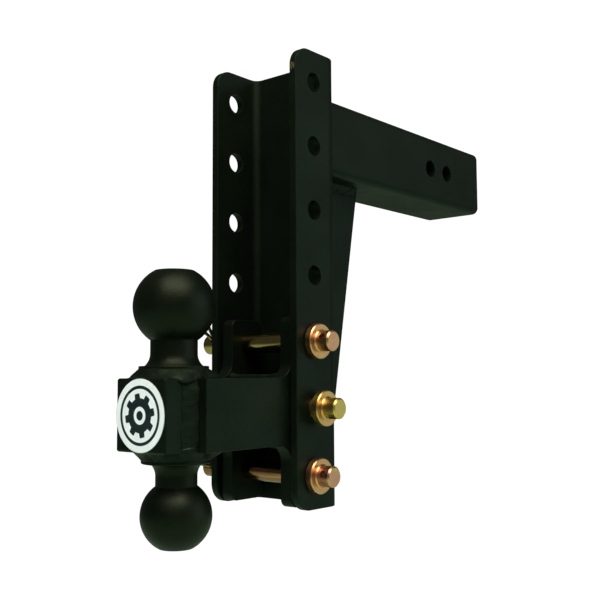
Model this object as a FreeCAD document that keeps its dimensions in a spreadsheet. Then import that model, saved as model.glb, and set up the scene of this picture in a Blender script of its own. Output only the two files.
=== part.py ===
import FreeCAD, Part
import math
import os
import Sketcher

# Adjustable-height trailer hitch with two welded tow balls.
# Frame: X across the channel, -Y towards the balls, +Y along the shank into the
# receiver, Z up. The origin lies on the shank's centreline, on the axis of the
# cross-pin hole nearest to the channel. Lengths are in millimetres.

doc = FreeCAD.newDocument("trailer_hitch")

# ---------------------------------------------------------------- sizes
SIZES = [
    ("plate_thick", "6.35 mm", "steel plate of the bent channel"),
    ("bend_inner", "6.35 mm", "inside radius of the channel's two bends"),
    ("channel_width", "90.5 mm", "outside width over both flanges"),
    ("channel_depth", "53.2 mm", "back of the web to the front of a flange"),
    ("channel_height", "355.6 mm", "14 inch channel"),
    ("flange_corner", "15 mm", "rounded front corners of the flanges"),
    ("edge_ease", "0.6 mm", "broken edges of the cut plates"),
    ("web_back", "-163 mm", "Y of the web's back face"),
    ("channel_top", "57.9 mm", "Z of the channel's top"),
    ("hole_pitch", "50.8 mm", "height step between hole pairs"),
    ("hole_margin", "25.4 mm", "channel top to the first hole"),
    ("hole_row", "31.2 mm", "web back to the hole axis"),
    ("hole_radius", "8.02 mm", "height-adjusting pin hole"),
    ("shank_side", "63 mm", "2-1/2 inch receiver bar, with room to slide"),
    ("shank_length", "255.9 mm", "bar behind the web"),
    ("shank_edge", "6.5 mm", "rolled edge radius of the bar"),
    ("shank_lead", "3.2 mm", "rounded rim of the bar's leading end"),
    ("shank_hole_radius", "8.25 mm", "receiver cross-pin hole"),
    ("shank_hole_step", "30 mm", "between the two cross-pin holes"),
    ("gusset_thick", "12.7 mm", "half-inch gusset plate"),
    ("gusset_top_depth", "77.8 mm", "gusset depth under the shank"),
    ("gusset_low_depth", "31.4 mm", "gusset depth at its lower end"),
    ("gusset_height", "253.5 mm", "gusset along the web"),
    ("weld_leg", "7 mm", "large fillet welds"),
    ("weld_leg_small", "4.2 mm", "seam beads across the ball bar"),
    ("weld_leg_plate", "5.6 mm", "upright beads at the side plates' front ends"),
    ("seat_weld_reach", "9 mm", "ball welds, out along the bar"),
    ("seat_weld_height", "8 mm", "ball welds, up the base flange"),
    ("bar_side", "50.8 mm", "2 inch square ball bar"),
    ("bar_centre_z", "-223.6 mm", "height of the ball bar's centre"),
    ("bar_front", "-328.2 mm", "Y of the bar's front face"),
    ("bar_length", "120.2 mm", "bar from its front face to its back end"),
    ("bar_ease", "1.8 mm", "eased edges of the ball bar"),
    ("rim_ease", "0.8 mm", "eased rims of the balls' flats and base flanges"),
    ("cheek_thick", "11.2 mm", "side plates of the ball mount"),
    ("cheek_arm_front", "-301 mm", "Y of the arm's front end"),
    ("cheek_ear_front", "-212.4 mm", "Y of the ears' front edge"),
    ("cheek_ear_back", "-178 mm", "Y of the ears' back edge"),
    ("cheek_height", "144 mm", "ears from bottom to top"),
    ("cheek_inner_fillet", "12.7 mm", "concave corner of arm and ear"),
    ("cheek_corner", "6 mm", "outer corners of the ears"),
    ("ball_axis", "-297.6 mm", "Y of the upper ball's axis"),
    ("upper_ball_radius", "29.37 mm", "2-5/16 inch ball"),
    ("upper_ball_rise", "76.2 mm", "bar centre to upper ball centre"),
    ("upper_flat", "25.8 mm", "ball centre to its flat top"),
    ("upper_neck_radius", "16.8 mm", "upper ball's neck"),
    ("upper_seat_height", "8.5 mm", "upper ball's base flange"),
    ("lower_ball_radius", "25.4 mm", "2 inch ball"),
    ("lower_ball_back", "3 mm", "lower ball set back from the upper ball's axis"),
    ("lower_ball_drop", "70.8 mm", "bar centre to lower ball centre"),
    ("lower_flat", "22.4 mm", "ball centre to its flat bottom"),
    ("lower_neck_radius", "14.8 mm", "lower ball's neck"),
    ("lower_seat_height", "8.8 mm", "lower ball's base flange"),
    ("seat_radius", "24.9 mm", "base flanges of both balls"),
    ("flare_radius", "11.5 mm", "concave flare at the foot of the necks"),
    ("flare_reach", "4 mm", "flare's foot beyond the neck"),
    ("pin_radius", "7.94 mm", "5/8 inch pin"),
    ("pin_length", "133.8 mm", "pin from end to end"),
    ("pin_stub", "11.8 mm", "pin beyond its collar"),
    ("pin_chamfer", "1.2 mm", "both pin ends"),
    ("pin_cross_radius", "2.5 mm", "cross holes in the pin"),
    ("pin_head_inset", "6 mm", "outer cross hole to the pin's outer end"),
    ("pin_tail_inset", "10.5 mm", "clip hole to the pin's inner end"),
    ("collar_radius", "13.5 mm", "collar on the pin"),
    ("collar_thick", "6.2 mm", "collar along the pin"),
    ("collar_chamfer", "0.8 mm", "collar's outer rim"),
    ("collar_root", "1 mm", "weld between collar and stub"),
    ("collar_gap", "0.1 mm", "collar to flange, pin pushed home"),
    ("middle_pin_out", "5.8 mm", "how far the middle pin stands out"),
    ("clip_wire", "1.4 mm", "radius of the hairpin clip's wire"),
    ("badge_radius", "25.3 mm", "round label on the bar's front"),
    ("badge_thick", "0.3 mm", "label thickness"),
]
HOLE_PAIRS = 7

sheet = doc.addObject("Spreadsheet::Sheet", "Sizes")
for row, (alias, value, note) in enumerate(SIZES, start=1):
    sheet.set("A%d" % row, alias)
    sheet.set("B%d" % row, "=" + value)
    sheet.setAlias("B%d" % row, alias)
    sheet.set("C%d" % row, note)
doc.recompute()


def size(alias):
    """Value of a named size, in millimetres."""
    return float(sheet.get(alias).Value)


def words(expression):
    """Put the sheet's name in front of every alias of an expression."""
    out = []
    for token in expression.split(" "):
        known = any(token == alias for alias, _, _ in SIZES)
        out.append("Sizes." + token if known else token)
    return " ".join(out)


def drive(obj, prop, expression):
    obj.setExpression(prop, words(expression))


def place(obj, at):
    for axis, expression in zip("xyz", at):
        drive(obj, "Placement.Base." + axis, expression)


X_AXIS = FreeCAD.Rotation(FreeCAD.Vector(0, 1, 0), 90)
Y_AXIS = FreeCAD.Rotation(FreeCAD.Vector(1, 0, 0), -90)
Z_AXIS = FreeCAD.Rotation()
ZERO = "0 mm"
ORIGIN = (ZERO, ZERO, ZERO)


# ---------------------------------------------------------------- building blocks
def box(name, length, width, height, at):
    obj = doc.addObject("Part::Box", name)
    drive(obj, "Length", length)
    drive(obj, "Width", width)
    drive(obj, "Height", height)
    place(obj, at)
    return obj


def cylinder(name, radius, height, at, turn=Z_AXIS, angle=360.0):
    obj = doc.addObject("Part::Cylinder", name)
    drive(obj, "Radius", radius)
    drive(obj, "Height", height)
    obj.Angle = angle
    obj.Placement.Rotation = turn
    place(obj, at)
    return obj


def cone(name, radius_low, radius_high, height, at):
    obj = doc.addObject("Part::Cone", name)
    drive(obj, "Radius1", radius_low)
    drive(obj, "Radius2", radius_high)
    drive(obj, "Height", height)
    place(obj, at)
    return obj


def wedge(name, limits, at):
    """Block whose far end (Y) has its own X and Z limits."""
    obj = doc.addObject("Part::Wedge", name)
    for prop, expression in limits.items():
        drive(obj, prop, expression)
    place(obj, at)
    return obj


def fuse(name, shapes):
    obj = doc.addObject("Part::MultiFuse", name)
    obj.Shapes = shapes
    obj.Refine = True
    return obj


def common(name, shapes):
    obj = doc.addObject("Part::MultiCommon", name)
    obj.Shapes = shapes
    obj.Refine = True
    return obj


def cut(name, base, tools):
    tool = tools[0] if len(tools) == 1 else fuse(name + "_tools", tools)
    obj = doc.addObject("Part::Cut", name)
    obj.Base = base
    obj.Tool = tool
    obj.Refine = True
    return obj


def ease(name, base, radius, pick, kind="Part::Fillet"):
    """Round or chamfer the edges of base that pick(edge) accepts."""
    doc.recompute()
    obj = doc.addObject(kind, name)
    obj.Base = base
    chosen = []
    for index, edge in enumerate(base.Shape.Edges, start=1):
        if pick(edge):
            chosen.append((index, radius, radius))
    obj.Edges = chosen
    return obj


def near(a, b):
    return abs(a - b) < 0.01


def break_edges(name, base, radius):
    """Round every sharp edge of a plate; edges inside a smooth surface stay."""
    doc.recompute()
    faces = base.Shape.Faces

    def is_sharp(edge):
        middle = edge.valueAt((edge.FirstParameter + edge.LastParameter) / 2)
        normals = []
        for face in faces:
            if any(edge.isSame(other) for other in face.Edges):
                u, v = face.Surface.parameter(middle)
                normals.append(face.normalAt(u, v))
        return len(normals) == 2 and normals[0].dot(normals[1]) < 0.8

    return ease(name, base, radius, is_sharp)


def along(edge, axis):
    """True for a straight edge that runs along the axis 'x', 'y' or 'z'."""
    box_ = edge.BoundBox
    spans = {"x": box_.XLength, "y": box_.YLength, "z": box_.ZLength}
    others = [spans[key] for key in spans if key != axis]
    return spans[axis] > 0.01 and max(others) < 0.001


parts = {}


def node(label, obj, at=None):
    """Name a finished sub-part and put it in its place."""
    obj.Label = label
    if at is not None:
        place(obj, at)
    parts[label] = obj
    return obj


# ---------------------------------------------------------------- channel
# Local frame: web back at Y = 0, flanges towards -Y, bottom at Z = 0.
blank = box("channel_blank", "channel_width", "channel_depth", "channel_height",
            ("-1 * channel_width / 2", "-1 * channel_depth", ZERO))
inside = box("channel_inside", "channel_width - 2 * plate_thick", "channel_depth",
             "channel_height + 20 mm",
             ("-1 * channel_width / 2 + plate_thick",
              "-1 * channel_depth - plate_thick", "-10 mm"))
u_section = cut("channel_u", blank, [inside])
half = size("channel_width") / 2
thick = size("plate_thick")
inner_half = half - thick


def is_outer_bend(edge):
    middle = edge.CenterOfMass
    return along(edge, "z") and near(abs(middle.x), half) and near(middle.y, 0)


def is_inner_bend(edge):
    middle = edge.CenterOfMass
    return along(edge, "z") and near(abs(middle.x), inner_half) and near(middle.y, -thick)


def is_flange_corner(edge):
    middle = edge.CenterOfMass
    return along(edge, "x") and near(middle.y, -size("channel_depth"))


bent_out = ease("channel_bend_out", u_section, size("bend_inner") + thick, is_outer_bend)
bent = ease("channel_bend_in", bent_out, size("bend_inner"), is_inner_bend)
rounded = ease("channel_rounded", bent, size("flange_corner"), is_flange_corner)
softened = break_edges("channel_softened", rounded, size("edge_ease"))
holes = []
for step in range(HOLE_PAIRS):
    height = "channel_height - hole_margin - %d * hole_pitch" % step
    holes.append(cylinder("height_hole_%d" % (step + 1), "hole_radius",
                          "channel_width + 20 mm",
                          ("-1 * channel_width / 2 - 10 mm",
                           "-1 * hole_row", height), X_AXIS))
node("hitch_channel", cut("channel", softened, holes),
     (ZERO, "web_back", "channel_top - channel_height"))

# ---------------------------------------------------------------- shank
bar = box("shank_blank", "shank_side", "shank_length", "shank_side",
          ("-1 * shank_side / 2", ZERO, "-1 * shank_side / 2"))


def is_long_edge(edge):
    return along(edge, "y")


shank_rolled = ease("shank_rolled", bar, size("shank_edge"), is_long_edge)


def is_end_edge(edge):
    rim = edge.BoundBox
    return rim.YLength < 0.001 and near(rim.YMin, size("shank_length"))


shank_nosed = ease("shank_nosed", shank_rolled, size("shank_lead"), is_end_edge)
cross = []
for step in range(2):
    cross.append(cylinder("shank_hole_%d" % (step + 1), "shank_hole_radius",
                          "shank_side + 20 mm",
                          ("-1 * shank_side / 2 - 10 mm",
                           "-1 * web_back + %d * shank_hole_step" % step, ZERO), X_AXIS))
node("shank_bar", cut("shank", shank_nosed, cross), (ZERO, "web_back", ZERO))

# Fillet weld around the shank where it meets the web.
skirt = wedge("shank_weld_skirt", {
    "Xmin": "-1 * shank_side / 2 - weld_leg",
    "Xmax": "shank_side / 2 + weld_leg",
    "Zmin": "-1 * shank_side / 2 - weld_leg",
    "Zmax": "shank_side / 2 + weld_leg",
    "X2min": "-1 * shank_side / 2",
    "X2max": "shank_side / 2",
    "Z2min": "-1 * shank_side / 2",
    "Z2max": "shank_side / 2",
    "Ymin": ZERO,
    "Ymax": "weld_leg",
}, ORIGIN)
core = box("shank_weld_core", "shank_side", "3 * weld_leg", "shank_side",
           ("-1 * shank_side / 2", "-1 * weld_leg", "-1 * shank_side / 2"))
below = box("shank_weld_below", "gusset_thick", "3 * weld_leg", "3 * weld_leg",
            ("-1 * gusset_thick / 2", "-1 * weld_leg",
             "-1 * shank_side / 2 - 3 * weld_leg + 0.01 mm"))
core_rolled = ease("shank_weld_core_rolled", core, size("shank_edge"), is_long_edge)
node("shank_weld", cut("shank_weld_ring", skirt, [core_rolled, below]),
     (ZERO, "web_back", ZERO))

# ---------------------------------------------------------------- gusset
gusset = wedge("gusset", {
    "Xmin": ZERO,
    "Xmax": "gusset_low_depth",
    "X2min": ZERO,
    "X2max": "gusset_top_depth",
    "Ymin": ZERO,
    "Ymax": "gusset_height",
    "Zmin": ZERO,
    "Zmax": "gusset_thick",
    "Z2min": ZERO,
    "Z2max": "gusset_thick",
}, ORIGIN)
# The wedge grows along its own Y; this turn stands it up with its depth along +Y.
gusset.Placement.Rotation = FreeCAD.Rotation(FreeCAD.Vector(1, 1, 1), 120)
gusset = break_edges("gusset_softened", gusset, size("edge_ease"))
node("gusset_plate", gusset,
     ("-1 * gusset_thick / 2", "web_back", "-1 * shank_side / 2 - gusset_height"))

# Welds on both sides of the gusset: one bead under the shank, one down the web.
for side, name in ((1, "right"), (-1, "left")):
    under_turn = FreeCAD.Rotation(FreeCAD.Vector(1, 0, 0), -90)
    under = cylinder("gusset_bead_under_" + name, "weld_leg", "gusset_top_depth - weld_leg",
                     ORIGIN, under_turn, 90.0)
    down = cylinder("gusset_bead_down_" + name, "weld_leg", "gusset_height",
                    (ZERO, ZERO, "-1 * gusset_height"), Z_AXIS, 90.0)
    if side < 0:
        under.Placement.Rotation = FreeCAD.Rotation(FreeCAD.Vector(0, 1, 0), 90).multiply(under_turn)
        down.Placement.Rotation = FreeCAD.Rotation(FreeCAD.Vector(0, 0, 1), 90)
    beads = fuse("gusset_beads_" + name, [under, down])
    trimmed = cut("gusset_bead_trim_" + name, beads, [
        wedge("gusset_bead_skirt_" + name, {
            "Xmin": "-6 * weld_leg",
            "Xmax": "6 * weld_leg",
            "X2min": "-6 * weld_leg",
            "X2max": "6 * weld_leg",
            "Ymin": ZERO,
            "Ymax": "weld_leg",
            "Zmin": "-1 * weld_leg",
            "Zmax": "weld_leg",
            "Z2min": ZERO,
            "Z2max": "weld_leg",
        }, ORIGIN)])
    node("gusset_weld_" + name, trimmed,
         ("%d * gusset_thick / 2" % side, "web_back", "-1 * shank_side / 2"))

# ---------------------------------------------------------------- ball mount
ball_bar = box("ball_bar_blank", "bar_side", "bar_length", "bar_side",
               ("-1 * bar_side / 2", ZERO, "-1 * bar_side / 2"))


def is_front_edge(edge):
    return near(edge.BoundBox.YMax, 0)


def is_bar_edge(edge):
    return is_long_edge(edge) or is_front_edge(edge)


bar_eased = ease("ball_bar_eased", ball_bar, size("bar_ease"), is_bar_edge)
node("ball_bar", bar_eased, (ZERO, "bar_front", "bar_centre_z"))

# Side plates: a forward arm and two ears with three pin holes.
for side, name in ((1, "right"), (-1, "left")):
    inner = "bar_side / 2" if side > 0 else "-1 * bar_side / 2 - cheek_thick"
    arm = box("cheek_arm_" + name, "cheek_thick", "cheek_ear_back - cheek_arm_front",
              "bar_side", (ZERO, ZERO, "-1 * bar_side / 2"))
    ear = box("cheek_ear_" + name, "cheek_thick", "cheek_ear_back - cheek_ear_front",
              "cheek_height", (ZERO, "cheek_ear_front - cheek_arm_front",
                               "-1 * cheek_height / 2"))
    blank = fuse("cheek_blank_" + name, [arm, ear])
    ear_y = size("cheek_ear_front") - size("cheek_arm_front")
    top = size("cheek_height") / 2
    arm_top = size("bar_side") / 2

    def is_concave(edge):
        middle = edge.CenterOfMass
        return along(edge, "x") and near(middle.y, ear_y) and near(abs(middle.z), arm_top)

    def is_ear_corner(edge):
        middle = edge.CenterOfMass
        return along(edge, "x") and near(abs(middle.z), top)

    scooped = ease("cheek_scooped_" + name, blank, size("cheek_inner_fillet"), is_concave)
    cheek = ease("cheek_cornered_" + name, scooped, size("cheek_corner"), is_ear_corner)
    cheek = break_edges("cheek_softened_" + name, cheek, size("edge_ease"))
    pin_holes = []
    for step in range(4, HOLE_PAIRS):
        height = "channel_top - hole_margin - %d * hole_pitch - bar_centre_z" % step
        pin_holes.append(cylinder("cheek_hole_%s_%d" % (name, step + 1), "hole_radius",
                                  "cheek_thick + 20 mm",
                                  ("-10 mm", "web_back - hole_row - cheek_arm_front",
                                   height), X_AXIS))
    node("side_plate_" + name, cut("side_plate_cut_" + name, cheek, pin_holes),
         (inner, "cheek_arm_front", "bar_centre_z"))

# Bead in the corner between the bar's side and the front end of each side plate.
for side, name in ((1, "right"), (-1, "left")):
    turn = FreeCAD.Rotation(FreeCAD.Vector(0, 0, 1), -90 if side > 0 else 180)
    bead = cylinder("plate_bead_" + name, "weld_leg_plate", "bar_side - 2 * bar_ease",
                    ORIGIN, turn, 90.0)
    node("plate_weld_" + name, bead,
         ("%d * bar_side / 2" % side, "cheek_arm_front", "bar_centre_z - bar_side / 2 + bar_ease"))

# Bead across the bar's top and bottom, between the two ears.
for side, name in ((1, "upper"), (-1, "lower")):
    turn = X_AXIS.multiply(FreeCAD.Rotation(FreeCAD.Vector(0, 0, 1), 90 * side))
    bead = cylinder("seam_bead_" + name, "weld_leg_small", "bar_side", ORIGIN, turn, 180.0)
    node("seam_weld_" + name, bead,
         ("-1 * bar_side / 2", "cheek_ear_front",
          "bar_centre_z + %d * bar_side / 2" % side))


# ---------------------------------------------------------------- balls
# Height at which the flare leaves the neck, from its radius and reach.
FLARE_RISE = "sqrt( flare_reach * ( 2 * flare_radius - flare_reach ) )"


def ball(label, radius, rise, flat, neck, seat_height, up):
    """Tow ball with neck and base flange; local Z = 0 is the seat on the bar."""
    sphere = doc.addObject("Part::Sphere", label + "_sphere")
    drive(sphere, "Radius", radius)
    place(sphere, (ZERO, ZERO, rise))
    window = cylinder(label + "_window", "2 * " + radius, rise + " + " + flat, ORIGIN)
    head = common(label + "_head", [sphere, window])
    stem = cylinder(label + "_neck", neck, rise, ORIGIN)
    seat = cylinder(label + "_seat", "seat_radius", seat_height, ORIGIN)
    drum = cylinder(label + "_drum", neck + " + flare_reach", FLARE_RISE, (ZERO, ZERO, seat_height))
    hollow = doc.addObject("Part::Torus", label + "_hollow")
    drive(hollow, "Radius1", neck + " + flare_radius")
    drive(hollow, "Radius2", "flare_radius")
    place(hollow, (ZERO, ZERO, seat_height + " + " + FLARE_RISE))
    flare = cut(label + "_flare", drum, [hollow])
    body = fuse(label + "_body", [head, stem, seat, flare])
    seat_z = size(seat_height)

    def is_seat_rim(edge):
        circle = edge.BoundBox
        flat_edge = circle.ZLength < 0.001 and near(circle.ZMin, seat_z)
        return flat_edge and near(circle.XLength, 2 * size("seat_radius"))

    def is_top_rim(edge):
        circle = edge.BoundBox
        return circle.ZLength < 0.001 and circle.ZMin > seat_z + size(radius)

    rimmed = ease(label + "_rimmed", body, size("rim_ease"), is_seat_rim)
    finished = ease(label + "_finished", rimmed, size("rim_ease"), is_top_rim)
    finished.Placement.Rotation = FreeCAD.Rotation(FreeCAD.Vector(1, 0, 0), 0 if up else 180)
    sign = "+" if up else "-"
    axis_y = "ball_axis" if up else "ball_axis + lower_ball_back"
    seat_at = (ZERO, axis_y, "bar_centre_z %s bar_side / 2" % sign)
    node(label, finished, seat_at)

    skirt_ = cone(label + "_bead", "seat_radius + seat_weld_reach", "seat_radius",
                  "seat_weld_height", ORIGIN)
    # The weld stays on the bar: it stops at both its sides and at its front face.
    to_front = "( bar_front - ( " + axis_y + " ) )"
    keep_from = to_front if up else "-4 * bar_side - " + to_front
    keep = box(label + "_bead_keep", "bar_side", "4 * bar_side", "bar_side",
               ("-1 * bar_side / 2", keep_from, ZERO))
    bore = cylinder(label + "_bead_bore", "seat_radius", "bar_side", ("0 mm", "0 mm", "-5 mm"))
    ring_ = cut(label + "_bead_ring", common(label + "_bead_kept", [skirt_, keep]), [bore])
    ring_.Placement.Rotation = FreeCAD.Rotation(FreeCAD.Vector(1, 0, 0), 0 if up else 180)
    node(label + "_weld", ring_, seat_at)


ball("upper_ball", "upper_ball_radius", "upper_ball_rise - bar_side / 2", "upper_flat",
     "upper_neck_radius", "upper_seat_height", True)
ball("lower_ball", "lower_ball_radius", "lower_ball_drop - bar_side / 2", "lower_flat",
     "lower_neck_radius", "lower_seat_height", False)


# ---------------------------------------------------------------- pins
def turned(obj, degrees):
    """Turn a piece about the pin's axis."""
    obj.Placement.Rotation = FreeCAD.Rotation(FreeCAD.Vector(1, 0, 0), degrees).multiply(
        obj.Placement.Rotation)
    return obj


def cross_hole(name, inset_from_collar, angle):
    """Hole across the pin, at an angle from +Y towards +Z."""
    lean = math.radians(angle)
    hole = cylinder(name, "pin_cross_radius", "4 * pin_radius",
                    (inset_from_collar,
                     "%.6f * pin_radius" % (-2 * math.cos(lean)),
                     "%.6f * pin_radius" % (-2 * math.sin(lean))))
    return turned(hole, angle - 90)


def pin(name, hole, out, head_angle, tail_angle):
    """Pin with its collar; local X = 0 is the collar's inner face."""
    shaft = cylinder(name + "_shaft", "pin_radius", "pin_length",
                     ("collar_thick + pin_stub - pin_length", ZERO, ZERO), X_AXIS)

    def is_pin_end(edge):
        ring = edge.BoundBox
        return ring.XLength < 0.001 and near(ring.ZLength, 2 * size("pin_radius"))

    chamfered = ease(name + "_chamfered", shaft, size("pin_chamfer"), is_pin_end, "Part::Chamfer")
    head_hole = cross_hole(name + "_hole_head",
                           "collar_thick + pin_stub - pin_head_inset", head_angle)
    tail_hole = cross_hole(name + "_hole_tail",
                           "collar_thick + pin_stub - pin_length + pin_tail_inset", tail_angle)
    drilled = cut(name + "_drilled", chamfered, [head_hole, tail_hole])
    at = ("channel_width / 2 + collar_gap + " + out, "web_back - hole_row",
          "channel_top - hole_margin - %d * hole_pitch" % (hole - 1))
    node(name, drilled, at)

    disc = cylinder(name + "_collar_disc", "collar_radius", "collar_thick", ORIGIN, X_AXIS)

    def is_outer_rim(edge):
        ring = edge.BoundBox
        return ring.XLength < 0.001 and near(ring.ZLength, 2 * size("collar_radius"))

    rimmed = ease(name + "_collar_rimmed", disc, size("collar_chamfer"), is_outer_rim,
                  "Part::Chamfer")
    root = cone(name + "_collar_root", "pin_radius + collar_root", "pin_radius",
                "collar_root", ("collar_thick", ZERO, ZERO))
    root.Placement.Rotation = X_AXIS
    bore = cylinder(name + "_collar_bore", "pin_radius", "pin_length",
                    ("-1 * pin_length / 2", ZERO, ZERO), X_AXIS)
    body = fuse(name + "_collar_body", [rimmed, root])
    node(name.replace("pin", "collar"), cut(name + "_collar_cut", body, [bore]), at)


pin("pin_upper", 5, "0 mm", 152, 147)
pin("pin_middle", 6, "middle_pin_out", 70, 100)
pin("pin_lower", 7, "0 mm", 160, 168)


# ---------------------------------------------------------------- hairpin clips
def polar(radius, degrees, centre=(0.0, 0.0)):
    angle = math.radians(degrees)
    return (centre[0] + radius * math.cos(angle), centre[1] + radius * math.sin(angle))


def clip(label, hole, leg_angle):
    """Hairpin clip: a straight leg through the pin and a waved leg around it."""
    hug = size("pin_radius") + size("clip_wire") + 0.05
    neck_turn = 3.2
    flare_turn = 4.0
    head_turn = 4.0
    leg_tip = 17.0
    neck_angle = 148.0
    flare_angle = 38.0
    slope = 25.0
    neck_centre = polar(hug + neck_turn, neck_angle)
    flare_centre = polar(hug + flare_turn, flare_angle)
    neck_in = polar(neck_turn, -90.0 - slope, neck_centre)
    head_top = head_turn + head_turn * math.cos(math.radians(slope))
    run = (head_top - neck_in[1]) / math.sin(math.radians(slope))
    head_out = (neck_in[0] - run * math.cos(math.radians(slope)), head_top)
    head_centre = (head_out[0] - head_turn * math.sin(math.radians(slope)), head_turn)
    flare_out = polar(flare_turn, flare_angle + 180.0 + 70.0, flare_centre)
    tip_heading = math.radians(flare_angle + 180.0 + 70.0 + 90.0)
    tip = (flare_out[0] + 4.0 * math.cos(tip_heading), flare_out[1] + 4.0 * math.sin(tip_heading))

    def vec(point):
        return FreeCAD.Vector(point[0], point[1], 0)

    def line(a, b):
        return Part.LineSegment(vec(a), vec(b))

    def arc(centre, radius, start, end):
        circle = Part.Circle(vec(centre), FreeCAD.Vector(0, 0, 1), radius)
        return Part.ArcOfCircle(circle, math.radians(start), math.radians(end))

    path = doc.addObject("Sketcher::SketchObject", label + "_path")
    path.addGeometry([
        line((leg_tip, 0.0), (head_centre[0], 0.0)),
        arc(head_centre, head_turn, 90.0 - slope, 270.0),
        line(head_out, neck_in),
        arc(neck_centre, neck_turn, -90.0 - slope, neck_angle - 180.0),
        arc((0.0, 0.0), hug, flare_angle, neck_angle),
        arc(flare_centre, flare_turn, flare_angle + 180.0, flare_angle + 250.0),
        line(flare_out, tip),
    ], False)
    section = doc.addObject("Part::Circle", label + "_section")
    drive(section, "Radius", "clip_wire")
    section.Placement = FreeCAD.Placement(FreeCAD.Vector(leg_tip, 0, 0),
                                          FreeCAD.Rotation(FreeCAD.Vector(0, 1, 0), -90))
    doc.recompute()
    wire = doc.addObject("Part::Sweep", label + "_wire")
    wire.Sections = [section]
    wire.Spine = (path, ["Edge%d" % (i + 1) for i in range(path.GeometryCount)])
    wire.Solid = True
    wire.Frenet = False
    # The clip's plane stands square to the pin. Its head points along leg_angle, measured
    # from +Y towards +Z, and its waved leg passes over the top of the pin.
    stand = FreeCAD.Rotation(FreeCAD.Vector(0, 1, 0), -90).multiply(
        FreeCAD.Rotation(FreeCAD.Vector(1, 0, 0), 180))
    wire.Placement.Rotation = stand
    turned(wire, leg_angle + 90)
    node(label, wire, ("channel_width / 2 + collar_gap + collar_thick + pin_stub"
                       " - pin_length + pin_tail_inset", "web_back - hole_row",
                       "channel_top - hole_margin - %d * hole_pitch" % (hole - 1)))


clip("clip_upper", 5, 147)
clip("clip_lower", 7, 168)

# ---------------------------------------------------------------- label disc
node("face_badge", cylinder("badge", "badge_radius", "badge_thick", ORIGIN, Y_AXIS),
     (ZERO, "bar_front - badge_thick", "bar_centre_z"))

# ---------------------------------------------------------------- checks and export
doc.recompute()
for obj in doc.Objects:
    bad = [state for state in obj.State if state in ("Invalid", "Error")]
    if bad:
        raise RuntimeError("%s is %s" % (obj.Name, bad))
    if hasattr(obj, "Shape") and (obj.Shape.isNull() or not obj.Shape.isValid()):
        raise RuntimeError("%s has no valid shape" % obj.Name)

os.makedirs("parts", exist_ok=True)
for label in sorted(parts):
    shape = parts[label].Shape
    if len(shape.Solids) != 1:
        raise RuntimeError("%s is not one solid but %d" % (label, len(shape.Solids)))
    shape.exportStep("parts/%s.step" % label)
    print(label, "%.1f cm3" % (shape.Volume / 1000))
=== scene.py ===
import bmesh
import bpy
import math
import random
from mathutils import Matrix, Vector, noise


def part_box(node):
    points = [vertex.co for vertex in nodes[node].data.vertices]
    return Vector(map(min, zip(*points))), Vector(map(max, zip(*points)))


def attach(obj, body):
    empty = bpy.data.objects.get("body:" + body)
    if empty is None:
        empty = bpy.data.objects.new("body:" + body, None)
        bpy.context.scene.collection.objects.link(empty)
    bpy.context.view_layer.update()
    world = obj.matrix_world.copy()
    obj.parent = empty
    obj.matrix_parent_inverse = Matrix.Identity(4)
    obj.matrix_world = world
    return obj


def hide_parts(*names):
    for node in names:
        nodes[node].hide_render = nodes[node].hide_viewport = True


# Adjustable-height trailer hitch with two tow balls, in metres, in the frame of the
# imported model: X across the channel, -Y towards the balls, Z up.
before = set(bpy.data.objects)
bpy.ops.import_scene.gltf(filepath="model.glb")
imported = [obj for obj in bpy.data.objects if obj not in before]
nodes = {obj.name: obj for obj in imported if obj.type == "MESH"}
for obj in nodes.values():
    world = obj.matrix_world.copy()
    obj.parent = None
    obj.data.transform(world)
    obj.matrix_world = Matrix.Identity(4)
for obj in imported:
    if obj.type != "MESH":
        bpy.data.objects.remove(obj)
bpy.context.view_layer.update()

MM = 0.001


# ---------------------------------------------------------------- camera
CAM_POS = (0.47839, -0.72895, -0.19751)
CAM_AZIMUTH, CAM_PITCH, CAM_ROLL = 39.964, 4.870, -0.281
CAM_LENS = 53.837


def make_camera():
    azimuth, pitch, roll = (math.radians(v) for v in (CAM_AZIMUTH, CAM_PITCH, CAM_ROLL))
    look = Vector((-math.sin(azimuth) * math.cos(pitch),
                   math.cos(azimuth) * math.cos(pitch),
                   math.sin(pitch)))
    side = Vector((math.cos(azimuth), math.sin(azimuth), 0.0))
    right = side * math.cos(roll) + side.cross(look) * math.sin(roll)
    up = right.cross(look)
    data = bpy.data.cameras.new("photo_camera")
    data.lens = CAM_LENS
    data.sensor_width = 36.0
    data.clip_start = 0.01
    data.clip_end = 50.0
    camera = bpy.data.objects.new("photo_camera", data)
    bpy.context.collection.objects.link(camera)
    turn = Matrix((right, up, -look)).transposed().to_4x4()
    camera.matrix_world = Matrix.Translation(CAM_POS) @ turn
    bpy.context.scene.camera = camera


# ---------------------------------------------------------------- studio
CENTRE = Vector((0.0, -0.15, -0.12))
FLOOR_Z = -0.60
FLOOR_REACH = 9.0
PAPER_WHITE = 1.05
ROOM_LIGHT = 0.09


def softbox(name, towards, distance, width, height, power, colour):
    """Rectangular soft light that looks at the object from a direction."""
    data = bpy.data.lights.new(name, "AREA")
    data.shape = "RECTANGLE"
    data.size = width
    data.size_y = height
    data.energy = power
    data.color = colour
    lamp = bpy.data.objects.new(name, data)
    direction = Vector(towards).normalized()
    lamp.location = CENTRE + direction * distance
    lamp.rotation_euler = direction.to_track_quat("Z", "Y").to_euler()
    bpy.context.collection.objects.link(lamp)
    return lamp


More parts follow.
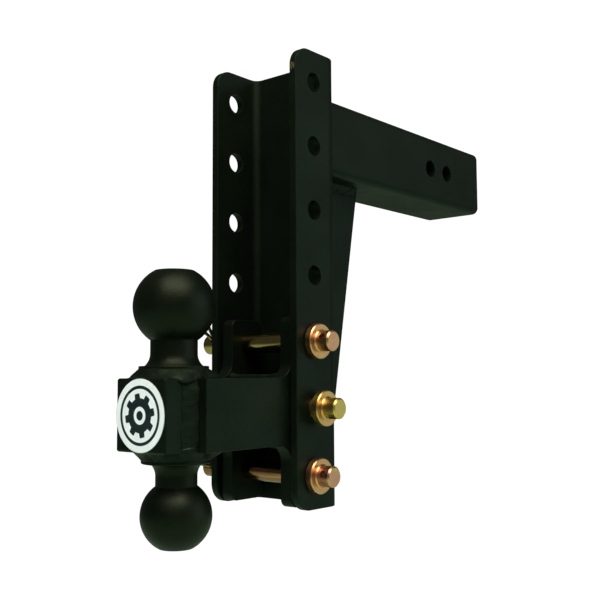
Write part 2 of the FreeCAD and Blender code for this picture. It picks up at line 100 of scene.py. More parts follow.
def white_to_camera(tree, lit, white, output):
    """Show a plain white shader to camera rays, and the lit one to all other rays."""
    path = tree.nodes.new("ShaderNodeLightPath")
    choose = tree.nodes.new("ShaderNodeMixShader")
    tree.links.new(path.outputs["Is Camera Ray"], choose.inputs[0])
    tree.links.new(lit.outputs[0], choose.inputs[1])
    tree.links.new(white.outputs[0], choose.inputs[2])
    tree.links.new(choose.outputs[0], tree.nodes[output].inputs["Surface"])


def make_world():
    world = bpy.data.worlds.new("studio")
    world.use_nodes = True
    tree = world.node_tree
    white = tree.nodes["Background"]
    white.inputs["Color"].default_value = (1.0, 1.0, 1.0, 1.0)
    white.inputs["Strength"].default_value = PAPER_WHITE
    room = tree.nodes.new("ShaderNodeBackground")
    room.inputs["Color"].default_value = (0.90, 1.0, 0.90, 1.0)
    room.inputs["Strength"].default_value = ROOM_LIGHT
    white_to_camera(tree, room, white, "World Output")
    bpy.context.scene.world = world


def make_floor():
    paper = bpy.data.materials.new("studio_paper")
    paper.use_nodes = True
    tree = paper.node_tree
    sheet = tree.nodes["Principled BSDF"]
    sheet.inputs["Base Color"].default_value = (0.62, 0.84, 0.66, 1.0)
    sheet.inputs["Roughness"].default_value = 1.0
    white = tree.nodes.new("ShaderNodeEmission")
    white.inputs["Strength"].default_value = PAPER_WHITE
    white_to_camera(tree, sheet, white, "Material Output")

    mesh = bpy.data.meshes.new("studio_floor")
    corners = [(x * FLOOR_REACH, y * FLOOR_REACH, FLOOR_Z)
               for x, y in ((-1, -1), (1, -1), (1, 1), (-1, 1))]
    mesh.from_pydata(corners, [], [(0, 1, 2, 3)])
    mesh.materials.append(paper)
    plane = bpy.data.objects.new("studio_floor", mesh)
    bpy.context.collection.objects.link(plane)


def make_studio():
    make_world()
    softbox("top_light", (0.72, -0.66, 1.46), 1.5, 1.5, 1.1, 45.5, (1.0, 0.94, 0.76))
    softbox("right_light", (1.0, 0.55, 0.14), 2.0, 1.8, 1.6, 12.7, (0.80, 1.0, 0.92))
    fill = softbox("front_fill", (-0.05, -1.0, 0.20), 2.0, 1.2, 1.2, 8.4, (0.78, 0.97, 1.0))
    fill.visible_glossy = False
    make_floor()
    bpy.context.scene.view_settings.view_transform = "Standard"


# ---------------------------------------------------------------- material helpers
class Finish:
    """A node material with short calls for the nodes that the finishes share."""

    def __init__(self, name, colour, roughness, metallic=0.0, specular=0.5,
                 tint=(1.0, 1.0, 1.0)):
        self.material = bpy.data.materials.new(name)
        self.material.use_nodes = True
        self.tree = self.material.node_tree
        self.shader = self.tree.nodes["Principled BSDF"]
        self.shader.inputs["Base Color"].default_value = (*colour, 1.0)
        self.shader.inputs["Roughness"].default_value = roughness
        self.shader.inputs["Metallic"].default_value = metallic
        self.shader.inputs["Specular IOR Level"].default_value = specular
        self.shader.inputs["Specular Tint"].default_value = (*tint, 1.0)
        self.place = self.add("ShaderNodeTexCoord").outputs["Object"]
        self.normal = None

    def add(self, kind, **settings):
        node = self.tree.nodes.new(kind)
        for key, value in settings.items():
            setattr(node, key, value)
        return node

    def put(self, socket, value):
        """Link an output, or set a plain number or colour."""
        if isinstance(value, bpy.types.NodeSocket):
            self.tree.links.new(value, socket)
        elif isinstance(value, tuple) and len(value) == 3 and len(socket.default_value) == 4:
            socket.default_value = (*value, 1.0)
        else:
            socket.default_value = value

    def math(self, operation, a, b=0.0):
        node = self.add("ShaderNodeMath", operation=operation)
        self.put(node.inputs[0], a)
        self.put(node.inputs[1], b)
        return node.outputs[0]

    def vector(self, operation, a, b):
        node = self.add("ShaderNodeVectorMath", operation=operation)
        self.put(node.inputs[0], a)
        self.put(node.inputs[1], b)
        return node.outputs["Value" if operation == "DOT_PRODUCT" else "Vector"]

    def length(self, value):
        node = self.add("ShaderNodeVectorMath", operation="LENGTH")
        self.put(node.inputs[0], value)
        return node.outputs["Value"]

    def parts(self, value):
        """The X, Y and Z outputs of a vector."""
        node = self.add("ShaderNodeSeparateXYZ")
        self.put(node.inputs[0], value)
        return node.outputs

    def stretched(self, scale):
        """Object coordinates with a scale of their own along each axis."""
        return self.vector("MULTIPLY", self.place, scale)

    def noise(self, size, detail=2.0, place=None, distortion=0.0):
        """Noise from 0 to 1 whose features are about size across, in metres."""
        node = self.add("ShaderNodeTexNoise")
        self.put(node.inputs["Vector"], place or self.place)
        node.inputs["Scale"].default_value = 1.0 / size
        node.inputs["Detail"].default_value = detail
        node.inputs["Distortion"].default_value = distortion
        return node.outputs["Fac"]

    def span(self, value, low, high, to_low=0.0, to_high=1.0):
        """Clamped map from low..high to to_low..to_high."""
        node = self.add("ShaderNodeMapRange", clamp=True)
        self.put(node.inputs["Value"], value)
        for key, number in zip(("From Min", "From Max", "To Min", "To Max"),
                               (low, high, to_low, to_high)):
            node.inputs[key].default_value = number
        return node.outputs["Result"]

    def mix(self, factor, a, b):
        """Colour a where factor is 0 and b where it is 1."""
        node = self.add("ShaderNodeMix", data_type="RGBA")
        self.put(node.inputs[0], factor)
        self.put(node.inputs[6], a)
        self.put(node.inputs[7], b)
        return node.outputs[2]

    def bump(self, height, depth, strength=1.0):
        """Add a relief that is depth metres deep on top of those before it."""
        node = self.add("ShaderNodeBump")
        node.inputs["Strength"].default_value = strength
        node.inputs["Distance"].default_value = depth
        self.put(node.inputs["Height"], height)
        if self.normal is not None:
            self.tree.links.new(self.normal, node.inputs["Normal"])
        self.normal = node.outputs["Normal"]
        self.tree.links.new(self.normal, self.shader.inputs["Normal"])

    def edges(self, radius):
        """1 on edges that turn within radius, 0 on flats."""
        rounded = self.add("ShaderNodeBevel", samples=6)
        rounded.inputs["Radius"].default_value = radius
        flat = self.add("ShaderNodeNewGeometry").outputs["Normal"]
        same = self.vector("DOT_PRODUCT", rounded.outputs["Normal"], flat)
        return self.span(self.math("SUBTRACT", 1.0, same), 0.02, 0.25)

    def near(self, centre, reach):
        """1 at a place, falling to 0 at reach metres from it."""
        distance = self.length(self.vector("SUBTRACT", self.place, centre))
        return self.span(distance, 0.0, reach, 1.0, 0.0)

    def facing_up(self):
        """Upward part of the surface's own direction."""
        return self.parts(self.add("ShaderNodeNewGeometry").outputs["Normal"])["Z"]

    def nearest(self, centres, reach):
        """1 at any of several places, falling to 0 at reach metres from them."""
        mask = self.near(centres[0], reach)
        for centre in centres[1:]:
            mask = self.math("MAXIMUM", mask, self.near(centre, reach))
        return mask

    def colour(self, value):
        self.put(self.shader.inputs["Base Color"], value)

    def roughness(self, value):
        self.put(self.shader.inputs["Roughness"], value)


# ---------------------------------------------------------------- finishes
COAT = (0.0013, 0.0027, 0.0014)
COAT_LIGHT = (0.0028, 0.0048, 0.0030)
# Lighter coat for dust nibs and worn edges, also used as a painted highlight along edges.
COAT_WORN_AND_HIGHLIGHT = (0.020, 0.024, 0.019)
COAT_TINT = (0.72, 1.0, 0.75)
# Painted highlight colour for glints on the crests of the weld lobes.
COAT_PAINTED_GLINT = (0.008, 0.010, 0.008)
# Painted shade colour under the upper weld lobes.
COAT_PAINTED_SHADE = (0.0004, 0.0007, 0.0004)
BALL_WARM = (0.0022, 0.0032, 0.0014)
BALL_TINT = (0.84, 1.0, 0.80)
LATHE_RINGS = 9000.0  # phase of the balls' flats, in radians per metre outwards
# One worn spot, on the front edge of the right flange near its top.
BRASSY = (0.20, 0.155, 0.07)
SCUFF_AT = (41.5 * MM, -216.2 * MM, 41.5 * MM)


def powder_coat():
    """Semi-matte black powder coat: orange peel, dust nibs, edges lightened by wear and by a
    painted highlight.
    """
    coat = Finish("black_coat", COAT, 0.46, specular=0.105, tint=COAT_TINT)
    cloudy = coat.noise(38 * MM, 3.0)
    speck = coat.noise(0.9 * MM, 2.0)
    body = coat.mix(coat.span(cloudy, 0.35, 0.70), COAT, COAT_LIGHT)
    body = coat.mix(coat.span(speck, 0.60, 0.78, 0.0, 0.5), body, COAT_WORN_AND_HIGHLIGHT)
    # Edges are painted lighter: partly wear of the coat, partly a painted highlight along them.
    broken = coat.span(coat.noise(5 * MM, 4.0), 0.38, 0.66, 0.25, 1.0)
    edge = coat.math("MULTIPLY", coat.edges(0.9 * MM), broken)
    body = coat.mix(edge, body, COAT_WORN_AND_HIGHLIGHT)
    scuff = coat.math("MULTIPLY", coat.near(SCUFF_AT, 6 * MM), coat.noise(1.8 * MM, 3.0))
    bare = coat.span(scuff, 0.26, 0.38)
    coat.colour(coat.mix(bare, body, BRASSY))
    coat.put(coat.shader.inputs["Metallic"], bare)
    handled = coat.span(coat.noise(60 * MM, 2.0, distortion=0.6), 0.3, 0.7, 0.40, 0.52)
    coat.roughness(coat.math("SUBTRACT", handled, coat.math("MULTIPLY", edge, 0.10)))
    coat.bump(coat.noise(2.4 * MM, 2.0), 0.10 * MM, 0.55)
    coat.bump(coat.noise(0.55 * MM, 2.0), 0.03 * MM, 0.60)
    return coat.material


def weld_coat(painted_shade_spots, painted_glint_spots):
    """The same coat over rough weld metal: painted highlights on the lobe crests, painted shade
    under the upper lobes.
    """
    coat = Finish("black_weld", COAT, 0.42, specular=0.13, tint=COAT_TINT)
    body = coat.mix(coat.span(coat.noise(7 * MM, 4.0), 0.35, 0.7), COAT, COAT_LIGHT)
    # Edges are painted lighter: partly wear, partly a painted highlight along them.
    body = coat.mix(coat.math("MULTIPLY", coat.edges(0.8 * MM), 0.6), body, COAT_WORN_AND_HIGHLIGHT)
    facing_up = coat.facing_up()
    # Painted shade: downward faces under the upper lobes are painted near black and made rough.
    hollow = coat.span(coat.nearest(painted_shade_spots, 11 * MM), 0.10, 0.50)
    hollow = coat.math("MULTIPLY", hollow, coat.span(facing_up, -0.10, -0.45))
    # Painted highlight: upward faces at the lobe crests are painted lighter in broken spots, and
    # made glossier.
    painted_glint = coat.span(coat.nearest(painted_glint_spots, 8 * MM), 0.10, 0.50)
    painted_glint = coat.math("MULTIPLY", painted_glint, coat.span(coat.noise(4 * MM, 1.0), 0.46, 0.60))
    painted_glint = coat.math("MULTIPLY", painted_glint, coat.span(facing_up, 0.10, 0.55))
    coat.colour(coat.mix(hollow, coat.mix(painted_glint, body, COAT_PAINTED_GLINT), COAT_PAINTED_SHADE))
    rough = coat.span(coat.noise(4 * MM, 3.0), 0.3, 0.7, 0.46, 0.74)
    rough = coat.math("SUBTRACT", rough, coat.math("MULTIPLY", painted_glint, 0.34))
    coat.roughness(coat.math("MAXIMUM", rough, hollow))
    coat.bump(coat.noise(3.0 * MM, 3.0), 0.30 * MM, 0.8)
    coat.bump(coat.noise(0.9 * MM, 2.0), 0.09 * MM, 0.8)
    return coat.material


def ball_coat(name, axis_y):
    """Satin black on turned steel: fine lathe rings round the vertical axis."""
    coat = Finish(name, COAT, 0.40, specular=0.12, tint=BALL_TINT)
    body = coat.mix(coat.span(coat.noise(22 * MM, 3.0), 0.35, 0.7), COAT, BALL_WARM)
    # Edges are painted lighter: partly wear, partly a painted highlight along them.
    body = coat.mix(coat.math("MULTIPLY", coat.edges(0.8 * MM), 0.7), body, COAT_WORN_AND_HIGHLIGHT)
    coat.colour(body)
    coat.roughness(coat.span(coat.noise(14 * MM, 4.0), 0.3, 0.7, 0.37, 0.46))
    rings = coat.noise(0.9 * MM, 2.0, coat.stretched((0.02, 0.02, 1.0)))
    coat.bump(rings, 0.02 * MM, 0.35)
    coat.bump(coat.noise(1.3 * MM, 4.0), 0.14 * MM, 0.90)
    from_axis = coat.vector("SUBTRACT", coat.place, (0.0, axis_y, 0.0))
    radius = coat.length(coat.vector("MULTIPLY", from_axis, (1.0, 1.0, 0.0)))
    rings_flat = coat.math("SINE", coat.math("MULTIPLY", radius, LATHE_RINGS))
    coat.bump(rings_flat, 0.006 * MM, 0.3)
    return coat.material


GOLD = (0.47, 0.32, 0.085)
PINK = (0.50, 0.22, 0.15)
OLIVE = (0.40, 0.36, 0.13)
PALE = (0.56, 0.47, 0.28)
ORANGE = (0.50, 0.26, 0.11)
# BRONZE and DARK_OLIVE are painted shade colours for the pins between the side plates.
BRONZE = (0.19, 0.085, 0.036)
DARK_OLIVE = (0.30, 0.24, 0.08)
WIRE = (0.34, 0.29, 0.09)
WIRE_DARK = (0.16, 0.12, 0.06)


def yellow_zinc(name, pinkness, root_x, shaded_shaft):
    """Yellow chromate over zinc: gold that drifts to pink and olive, turned finish.

    The corner where the pin leaves its collar, at root_x, is orange from the weld.
    """
    zinc = Finish(name, GOLD, 0.30, metallic=1.0)
    along = zinc.parts(zinc.place)["X"]
    drift = zinc.noise(11 * MM, 2.0, distortion=0.8)
    film = zinc.noise(6 * MM, 3.0, zinc.stretched((0.35, 1.0, 1.0)), distortion=0.6)
    body = zinc.mix(zinc.span(drift, 0.64 - pinkness, 0.90 - pinkness), GOLD, PINK)
    body = zinc.mix(zinc.span(film, 0.54, 0.74, 0.0, 0.50), body, OLIVE)
    grain = zinc.noise(0.9 * MM, 3.0)
    body = zinc.mix(zinc.span(grain, 0.50, 0.80, 0.0, 0.35), body, PALE)
    # Between the side plates the pins are painted in a darker, streaky colour of their own:
    # painted shade.
    shaded_between_plates = zinc.span(along, 20 * MM, 40 * MM, 0.92, 0.0)
    streak = zinc.noise(2.2 * MM, 3.0, zinc.stretched((0.05, 1.0, 1.0)))
    body = zinc.mix(shaded_between_plates, body, zinc.mix(zinc.span(streak, 0.42, 0.70, 0.0, 0.6), shaded_shaft, body))
    off_root = zinc.math("ABSOLUTE", zinc.math("SUBTRACT", along, root_x))
    body = zinc.mix(zinc.span(off_root, 0.3 * MM, 1.5 * MM, 0.75, 0.0), body, ORANGE)
    body = zinc.mix(zinc.math("MULTIPLY", zinc.edges(0.4 * MM), 0.6), body, PALE)
    zinc.colour(body)
    smooth = zinc.span(zinc.noise(5 * MM, 3.0), 0.3, 0.7, 0.27, 0.38)
    zinc.roughness(zinc.math("SUBTRACT", smooth, zinc.math("MULTIPLY", shaded_between_plates, 0.18)))
    turning = zinc.noise(0.5 * MM, 2.0, zinc.stretched((1.0, 0.03, 0.03)))
    zinc.bump(turning, 0.010 * MM, 0.4)
    zinc.bump(streak, 0.05 * MM, 0.5)
    return zinc.material


def clip_wire():
    """Drawn spring wire, zinc plated, with fine lengthwise scratches."""
    wire = Finish("clip_steel", WIRE, 0.36, metallic=1.0)
    body = wire.mix(wire.span(wire.noise(4 * MM, 3.0), 0.35, 0.7), WIRE, WIRE_DARK)
    wire.colour(wire.mix(wire.span(wire.noise(1.2 * MM, 3.0), 0.6, 0.8, 0.0, 0.5), body, GOLD))
    wire.roughness(wire.span(wire.noise(2 * MM, 3.0), 0.3, 0.7, 0.28, 0.44))
    wire.bump(wire.noise(0.4 * MM, 2.0), 0.02 * MM, 0.4)
    return wire.material


LABEL_WHITE = (0.86, 0.86, 1.0)
LABEL_INK = (0.002, 0.010, 0.014)
LABEL_GREY = (0.33, 0.35, 0.35)
TEETH = 8.0
PRINT_BLUR = 0.12 * MM
# Sizes of the print, as shares of the label's radius.
WHEEL_RIM, TOOTH = 0.47, 0.13
WHEEL_HOLE, HUB = 0.24, 0.13
RING_IN, RING_OUT = 0.72, 0.81
TRIM = 0.985


def label_print(centre, radius):
    """Printed vinyl disc: a ring and a plain toothed wheel, no lettering."""
    vinyl = Finish("badge_white", LABEL_WHITE, 0.38, specular=0.45)
    flat = vinyl.parts(vinyl.vector("SUBTRACT", vinyl.place, tuple(centre)))
    across, up = flat["X"], flat["Z"]
    reach = vinyl.math("SQRT", vinyl.math("ADD", vinyl.math("MULTIPLY", across, across),
                                          vinyl.math("MULTIPLY", up, up)))
    around = vinyl.math("ARCTAN2", up, across)

    def within(value, limit):
        return vinyl.span(value, limit - PRINT_BLUR, limit + PRINT_BLUR, 1.0, 0.0)

    def beyond(value, limit):
        return vinyl.span(value, limit - PRINT_BLUR, limit + PRINT_BLUR)

    teeth = vinyl.span(vinyl.math("SINE", vinyl.math("MULTIPLY", around, TEETH)), -0.25, 0.25)
    rim = vinyl.math("ADD", WHEEL_RIM * radius, vinyl.math("MULTIPLY", teeth, TOOTH * radius))
    wheel = vinyl.math("MULTIPLY", within(vinyl.math("SUBTRACT", reach, rim), 0.0),
                       beyond(reach, WHEEL_HOLE * radius))
    hub = within(reach, HUB * radius)
    ring = vinyl.math("MULTIPLY", beyond(reach, RING_IN * radius),
                      within(reach, RING_OUT * radius))
    ink = vinyl.math("MAXIMUM", vinyl.math("MAXIMUM", wheel, hub), ring)
    cover = vinyl.span(vinyl.noise(0.7 * MM, 3.0), 0.22, 0.36, 0.8, 1.0)
    paper = vinyl.mix(vinyl.span(vinyl.noise(12 * MM, 3.0), 0.3, 0.8, 0.0, 0.12),
                      LABEL_WHITE, LABEL_GREY)
    paper = vinyl.mix(beyond(reach, TRIM * radius), paper, LABEL_GREY)
    vinyl.colour(vinyl.mix(vinyl.math("MULTIPLY", ink, cover), paper, LABEL_INK))
    vinyl.roughness(vinyl.span(vinyl.noise(6 * MM, 3.0), 0.3, 0.7, 0.32, 0.44))
    vinyl.bump(vinyl.noise(4 * MM, 2.0), 0.05 * MM, 0.25)
    return vinyl.material


# ---------------------------------------------------------------- mesh helpers
def make_piece(name, points, faces, material, body, stands_for):
    """Smooth mesh object on a body, in place of the CAD nodes it stands for."""
    mesh = bpy.data.meshes.new(name)
    mesh.from_pydata([tuple(p) for p in points], [], faces)
    tidy = bmesh.new()
    tidy.from_mesh(mesh)
    bmesh.ops.remove_doubles(tidy, verts=tidy.verts, dist=1e-7)
    bmesh.ops.recalc_face_normals(tidy, faces=tidy.faces)
    tidy.to_mesh(mesh)
    tidy.free()
    mesh.polygons.foreach_set("use_smooth", [True] * len(mesh.polygons))
    mesh.materials.append(material)
    piece = bpy.data.objects.new(name, mesh)
    bpy.context.collection.objects.link(piece)
    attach(piece, body)
    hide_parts(*stands_for)


def strip_faces(rows, columns, closed_rows=False, first=0):
    """Quads of a grid of points, rows along the path and columns once round it."""
    faces = []
    for row in range(rows if closed_rows else rows - 1):
        after = (row + 1) % rows
        for column in range(columns):
            beside = (column + 1) % columns
            faces.append((first + row * columns + column, first + after * columns + column,
                          first + after * columns + beside, first + row * columns + beside))
    return faces


WELD_PITCH = 3.0 * MM
BEAD_COLUMNS = 13


def capped(rows, columns):
    """Faces of a tube of rows, closed with a cap at each end."""
    faces = strip_faces(rows, columns)
    faces.append(tuple(range(columns)))
    faces.append(tuple((rows - 1) * columns + c for c in reversed(range(columns))))
    return faces


def puddle_crest(distance):
    """Height of the ripple at a distance along a weld: one crescent every WELD_PITCH."""
    turns = distance / WELD_PITCH
    phase = turns - math.floor(turns)
    return math.sqrt(max(0.0, 1 - (2 * phase - 1) ** 2)) - 0.6


class Bead:
    """Path of a weld: places with the two directions that its legs lie along."""

    def __init__(self):
        self.places = []

    def add(self, at, leg_a, leg_b, size_a, size_b):
        self.places.append((Vector(at), Vector(leg_a), Vector(leg_b), size_a, size_b))

    def run(self, start, end, leg_a, leg_b, size_a, size_b, step=0.6 * MM):
        start, end = Vector(start), Vector(end)
        count = max(2, round((end - start).length / step))
        for index in range(count + 1):
            self.add(start.lerp(end, index / count), leg_a, leg_b, size_a, size_b)


def bead_shell(bead, seed, swell, ripple, taper=True):
    """Points and faces of a rippled fillet weld along a Bead.

    Each crescent of the ripple lags behind at the toes, as solidified puddles do.
    """
    pick = random.Random(seed)
    drift = Vector((pick.uniform(0, 50), pick.uniform(0, 50), pick.uniform(0, 50)))
    points = []
    travelled = 0.0
    total = sum((b[0] - a[0]).length for a, b in zip(bead.places, bead.places[1:]))
    previous = bead.places[0][0]
    for at, leg_a, leg_b, size_a, size_b in bead.places:
        travelled += (at - previous).length
        previous = at
        wander = noise.noise(drift + Vector((travelled / (11 * MM), 0, 0)))
        side_a = size_a * (1 + 0.16 * wander)
        side_b = size_b * (1 - 0.13 * wander)
        close = 1.0
        if taper:
            from_end = min(travelled, max(total - travelled, 0.0))
            close = math.sqrt(min(1.0, 0.10 + from_end / (2.2 * MM)))
        for column in range(BEAD_COLUMNS):
            t = column / (BEAD_COLUMNS - 1)
            lag = 4 * (t - 0.5) ** 2 * 0.9 * WELD_PITCH
            distance = travelled + lag + 0.35 * WELD_PITCH * wander
            crest = puddle_crest(distance)
            number = math.floor(distance / WELD_PITCH)
            puddle = noise.noise(drift + Vector((0, number * 0.77, t * 1.7)))
            angle = t * math.pi / 2
            flat = Vector((1 - t, t))
            round_ = Vector((math.cos(angle), math.sin(angle)))
            profile = flat.lerp(round_, swell)
            lift = 1 + math.sin(t * math.pi) * (ripple * crest + 0.10 * puddle)
            profile *= close * lift
            points.append(at + leg_a * (side_a * profile.x) + leg_b * (side_b * profile.y))
        points.append(at - (leg_a + leg_b) * 0.6 * MM)
    return points, capped(len(bead.places), BEAD_COLUMNS + 1)


# ---------------------------------------------------------------- welds
def rounded_square(half, radius, step=0.6 * MM):
    """Places round a square with rounded corners, with the outward direction of each."""
    straight = half - radius
    places = []
    for corner in range(4):
        base = corner * math.pi / 2
        ahead = Vector((-math.sin(base), math.cos(base)))
        out = Vector((math.cos(base), math.sin(base)))
        count = round(2 * straight / step)
        for index in range(count):
            along = -straight + 2 * straight * index / count
            places.append((out * half + ahead * along, out))
        centre = (out + ahead) * straight
        turns = max(4, round(radius * math.pi / 2 / step))
        for index in range(turns):
            angle = base + math.pi / 2 * index / turns
            away = Vector((math.cos(angle), math.sin(angle)))
            places.append((centre + away * radius, away))
    return places


SHANK_EDGE = 6.5 * MM


def shank_weld(material):
    """Bead on the web round the receiver bar, open where the gusset meets the bar."""
    low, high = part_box("shank_weld")
    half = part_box("shank_bar")[1][0]
    leg = high[0] - half
    gusset_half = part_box("gusset_plate")[1][0]
    places = rounded_square(half, SHANK_EDGE)
    # The bead starts beside the gusset and runs once round the shank to its other side.
    start = next(i for i, (at, out) in enumerate(places)
                 if out.y < -0.99 and at.x > gusset_half)
    places = places[start:] + places[:start]
    places = [p for p in places if not (p[1].y < -0.99 and abs(p[0].x) < gusset_half)]
    bead = Bead()
    for at, out in places:
        bead.add((at.x, low[1], at.y), (out.x, 0, out.y), (0, 1, 0), leg * 0.94, leg * 0.92)
    points, faces = bead_shell(bead, 11, 0.55, 0.10)
    make_piece("shank_weld_bead", points, faces, material, "hitch", ["shank_weld"])


def gusset_weld(side, name, material):
    """One bead from the gusset's front end under the shank, round the corner, down the web."""
    node = "gusset_weld_" + name
    low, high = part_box(node)
    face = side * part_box("gusset_plate")[1][0]
    leg = (high[0] - low[0]) * 0.95
    out = (side, 0, 0)
    web, under = low[1], high[2]
    turn = 5.0 * MM
    bead = Bead()
    bead.run((face, high[1], under), (face, web + turn, under), out, (0, 0, -1), leg, leg)
    steps = 14
    for index in range(1, steps):
        angle = math.pi / 2 * index / steps
        at = (face, web + turn * (1 - math.sin(angle)), under - turn * (1 - math.cos(angle)))
        bead.add(at, out, (0, math.sin(angle), -math.cos(angle)), leg, leg)
    bead.run((face, web, under - turn), (face, web, low[2] + 1 * MM), out, (0, 1, 0), leg, leg)
    points, faces = bead_shell(bead, 21 + side, 0.50, 0.10)
    make_piece(node + "_bead", points, faces, material, "hitch", [node])


def plate_weld(side, name, material):
    """Upright bead between the ball bar's side and the front end of a side plate.

    It is worked smooth, and thins where it runs in under the ball welds at both ends.
    """
    node = "plate_weld_" + name
    low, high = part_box(node)
    bar_low, bar_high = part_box("ball_bar")
    corner_x = low[0] if side > 0 else high[0]
    leg = high[0] - low[0]
    top, foot = bar_high[2] - 1.2 * MM, bar_low[2] + 1.2 * MM
    pick = Vector((side * 4.1, 2.7, 9.3))
    bead = Bead()
    count = 110
    for index in range(count + 1):
        share = index / count
        from_end = min(share, 1 - share) * (top - foot)
        full = 0.6 + 0.4 * min(1.0, from_end / (7 * MM))
        wander = noise.noise(pick + Vector((0, 0, share * 5.0)))
        edge = noise.noise(pick + Vector((3.3, 0, share * 9.0)))
        bead.add((corner_x, high[1], top + (foot - top) * share), (side, 0, 0), (0, -1, 0),
                 leg * (0.84 + 0.10 * wander) * full,
                 leg * (2.3 + 0.30 * edge))
    points, faces = bead_shell(bead, 31 + side, 0.14, 0.02, taper=False)
    make_piece(node + "_bead", points, faces, material, "hitch", [node])


def seam_weld(up, name, material):
    """Bead across the ball bar between the ears, fuller at both ends."""
    node = "seam_weld_" + name
    low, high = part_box(node)
    seat = low[2] if up > 0 else high[2]
    middle = (low[1] + high[1]) / 2
    half, rise = (high[1] - low[1]) / 2, high[2] - low[2]
    count = round((high[0] - low[0]) / (0.45 * MM))
    pick = Vector((7.3, up * 5.1, 0.0))
    points = []
    columns = 15
    for row in range(count + 1):
        x = low[0] + (high[0] - low[0]) * row / count
        ends = abs(2 * row / count - 1) ** 6
        wander = noise.noise(pick + Vector((x / (9 * MM), 0, 0)))
        for column in range(columns):
            t = column / (columns - 1)
            angle = math.pi * t
            lag = 4 * (t - 0.5) ** 2 * 0.8 * WELD_PITCH
            ripple = 1 + 0.07 * puddle_crest(x + lag) * math.sin(angle)
            full = min((0.62 + 0.34 * ends + 0.12 * wander) * ripple, 1.0)
            points.append(Vector((x, middle + half * 0.95 * full * math.cos(angle),
                                  seat + up * rise * full * math.sin(angle))))
        points.append(Vector((x, middle, seat - up * 0.6 * MM)))
    faces = capped(count + 1, columns + 1)
    make_piece(node + "_bead", points, faces, material, "hitch", [node])


FLANGE = 24.9 * MM  # radius of the balls' base flanges
# The lobes' place round the ball and half width, as angles in radians from its side.
LOBE_TURN, LOBE_WIDTH = -0.33, 0.44
LOBE_HANG, LOBE_PROUD = 5.8 * MM, 4.4 * MM


def ball_weld(up, name, material):
    """Skirt of weld metal from a ball's base flange out to the bar's edges.

    It slopes down hollow towards the bar's corners. Where the bar is narrower than the
    weld, beside the ball, the metal has run over the bar's edge in two heavy lobes.
    """
    node = name + "_weld"
    low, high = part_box(node)
    ball_low, ball_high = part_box(name)
    centre_y = (ball_low[1] + ball_high[1]) / 2
    seat = low[2] if up > 0 else high[2]
    rise = (high[2] - low[2]) * 0.97
    foot = high[1] - centre_y
    bar_low, bar_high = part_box("ball_bar")
    bar_half = bar_high[0]
    to_front = centre_y - bar_low[1]
    pick = Vector((13.7 * up, 3.9, 8.1))
    rows, columns = 360, 17
    points = []
    for row in range(rows):
        angle = math.tau * row / rows
        out = Vector((math.cos(angle), math.sin(angle), 0.0))
        wander = noise.noise(pick + out * 1.6)
        lumps = noise.noise(pick * 1.7 + out * 4.5)
        # The toe keeps to the bar's sides and front, with its corners rounded off.
        reach = [1 / (foot * (1.0 + 0.03 * wander)), abs(out.x) / bar_half]
        reach.append(max(-out.y, 0.0) / (to_front - 0.6 * MM))
        toe = sum(share ** 12 for share in reach) ** (-1 / 12)
        # The lobes lie just ahead of the ball, in front of the side plates.
        turn = math.atan2(out.y, abs(out.x))
        lobe = math.exp(-((turn - LOBE_TURN) / LOBE_WIDTH) ** 4)
        hang = lobe * (LOBE_HANG + 1.4 * MM * lumps)
        proud = lobe * (LOBE_PROUD + 1.6 * MM * lumps)
        top = rise * (0.84 + 0.06 * wander)
        behind = max(out.y, 0.0)
        for column in range(columns):
            t = column / (columns - 1)
            crest = noise.noise(pick + out * 5.0 + Vector((0, 0, t * 1.6)))
            skirt = toe + (FLANGE - toe) * t + 0.7 * MM * crest * math.sin(math.pi * t)
            sag = 1.7 * MM * math.sin(math.pi * t) * (1 - behind)
            slope = top * t ** (1 - 0.6 * behind) - sag
            heavy = toe + (FLANGE - toe) * t * t - 0.4 * MM * (1 - t)
            heavy += (proud + 0.8 * MM * crest) * math.sin(math.pi * t ** 0.8)
            drop = -hang + (top + hang) * t ** 1.3
            radius = skirt + (heavy - skirt) * lobe
            height = slope + (drop - slope) * lobe
            points.append(Vector((out.x * radius, centre_y + out.y * radius,
                                  seat + up * height)))
        inside = FLANGE - 1.5 * MM
        points.append(Vector((out.x * inside, centre_y + out.y * inside, seat + up * top * 0.5)))
        points.append(Vector((out.x * inside, centre_y + out.y * inside, seat - up * 0.5 * MM)))
    faces = strip_faces(rows, columns + 2, closed_rows=True)
    make_piece(node + "_bead", points, faces, material, "hitch", [node])


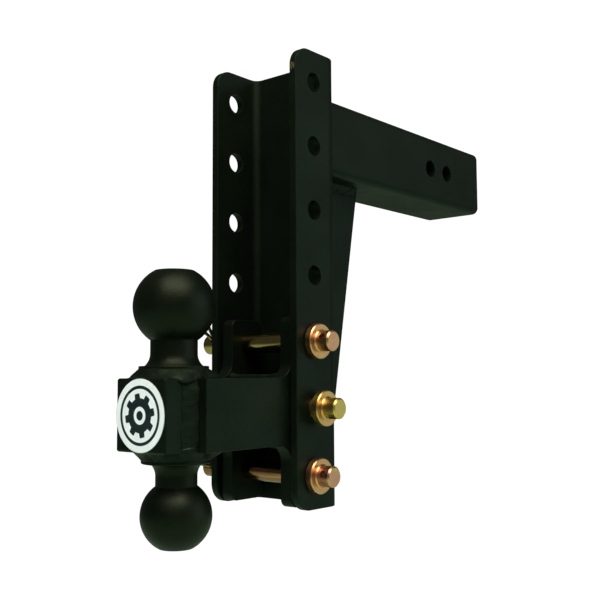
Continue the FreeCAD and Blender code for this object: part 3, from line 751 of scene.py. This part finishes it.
# ---------------------------------------------------------------- label
def make_label(material):
    """Thin vinyl disc with a softly turned-down edge."""
    low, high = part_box("face_badge")
    radius = (high[0] - low[0]) / 2 - 0.05 * MM
    centre = Vector(((low[0] + high[0]) / 2, high[1], (low[2] + high[2]) / 2))
    thick = high[1] - low[1] - 0.02 * MM
    profile = [(0.15, thick), (0.35, thick), (0.6, thick), (0.8, thick), (0.93, thick),
               (0.978, thick), (0.992, 0.86 * thick), (0.998, 0.55 * thick), (1.0, 0.0)]
    segments = 96
    points = [centre + Vector((0, -thick, 0))]
    for share, depth in profile:
        for index in range(segments):
            angle = math.tau * index / segments
            points.append(centre + Vector((radius * share * math.cos(angle), -depth,
                                           radius * share * math.sin(angle))))
    faces = [(0, 1 + i, 1 + (i + 1) % segments) for i in range(segments)]
    faces += strip_faces(len(profile), segments, first=1)
    faces.append(tuple(1 + (len(profile) - 1) * segments + i for i in range(segments)))
    make_piece("label_disc", points, faces, material, "hitch", ["face_badge"])


# ---------------------------------------------------------------- assembly
def dress(names, material):
    """Give CAD nodes their finish."""
    for name in names:
        for slot in nodes[name].material_slots:
            slot.material = material


def lobe_places(name, up, out, lift):
    """Places along a ball weld's two lobes, out from the bar's sides and off its face."""
    low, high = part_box(name)
    bar_low, bar_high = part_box("ball_bar")
    half = bar_high[0]
    middle = (low[1] + high[1]) / 2 + half * math.tan(LOBE_TURN)  # along Y
    face = bar_high[2] if up > 0 else bar_low[2]
    return [(side * (half + out), middle + along * MM, face + up * lift)
            for side in (1, -1) for along in (-6, 1, 8)]


def make_object():
    balls = ((1, "upper_ball"), (-1, "lower_ball"))
    # Places of the painted shade under the upper lobes.
    painted_shade_spots = lobe_places("upper_ball", 1, 2.0 * MM, -3.0 * MM)
    # Places of the painted highlights on the lobe crests.
    painted_glint_spots = lobe_places("upper_ball", 1, 2.5 * MM, 2.0 * MM)
    painted_glint_spots += lobe_places("lower_ball", -1, 2.5 * MM, -4.0 * MM)
    coat, weld = powder_coat(), weld_coat(painted_shade_spots, painted_glint_spots)
    dress(["hitch_channel", "shank_bar", "gusset_plate", "ball_bar",
           "side_plate_right", "side_plate_left"], coat)
    for up, name in balls:
        low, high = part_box(name)
        dress([name], ball_coat("ball_black_" + name.split("_")[0], (low[1] + high[1]) / 2))
        ball_weld(up, name, weld)
    # The last value of each row is the pin's painted shade colour between the side plates.
    for name, pinkness, shaded_shaft in (("upper", 0.38, DARK_OLIVE), ("middle", 0.12, GOLD),
                                  ("lower", 0.42, BRONZE)):
        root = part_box("collar_" + name)[1][0] - 1.0 * MM
        zinc = yellow_zinc("yellow_zinc_" + name, pinkness, root, shaded_shaft)
        dress(["pin_" + name, "collar_" + name], zinc)
    dress(["clip_upper", "clip_lower"], clip_wire())
    shank_weld(weld)
    for side, name in ((1, "right"), (-1, "left")):
        gusset_weld(side, name, weld)
        plate_weld(side, name, weld)
    for up, name in ((1, "upper"), (-1, "lower")):
        seam_weld(up, name, weld)
    low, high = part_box("face_badge")
    centre = [(a + b) / 2 for a, b in zip(low, high)]
    make_label(label_print(centre, (high[0] - low[0]) / 2))


make_camera()
make_studio()
make_object()
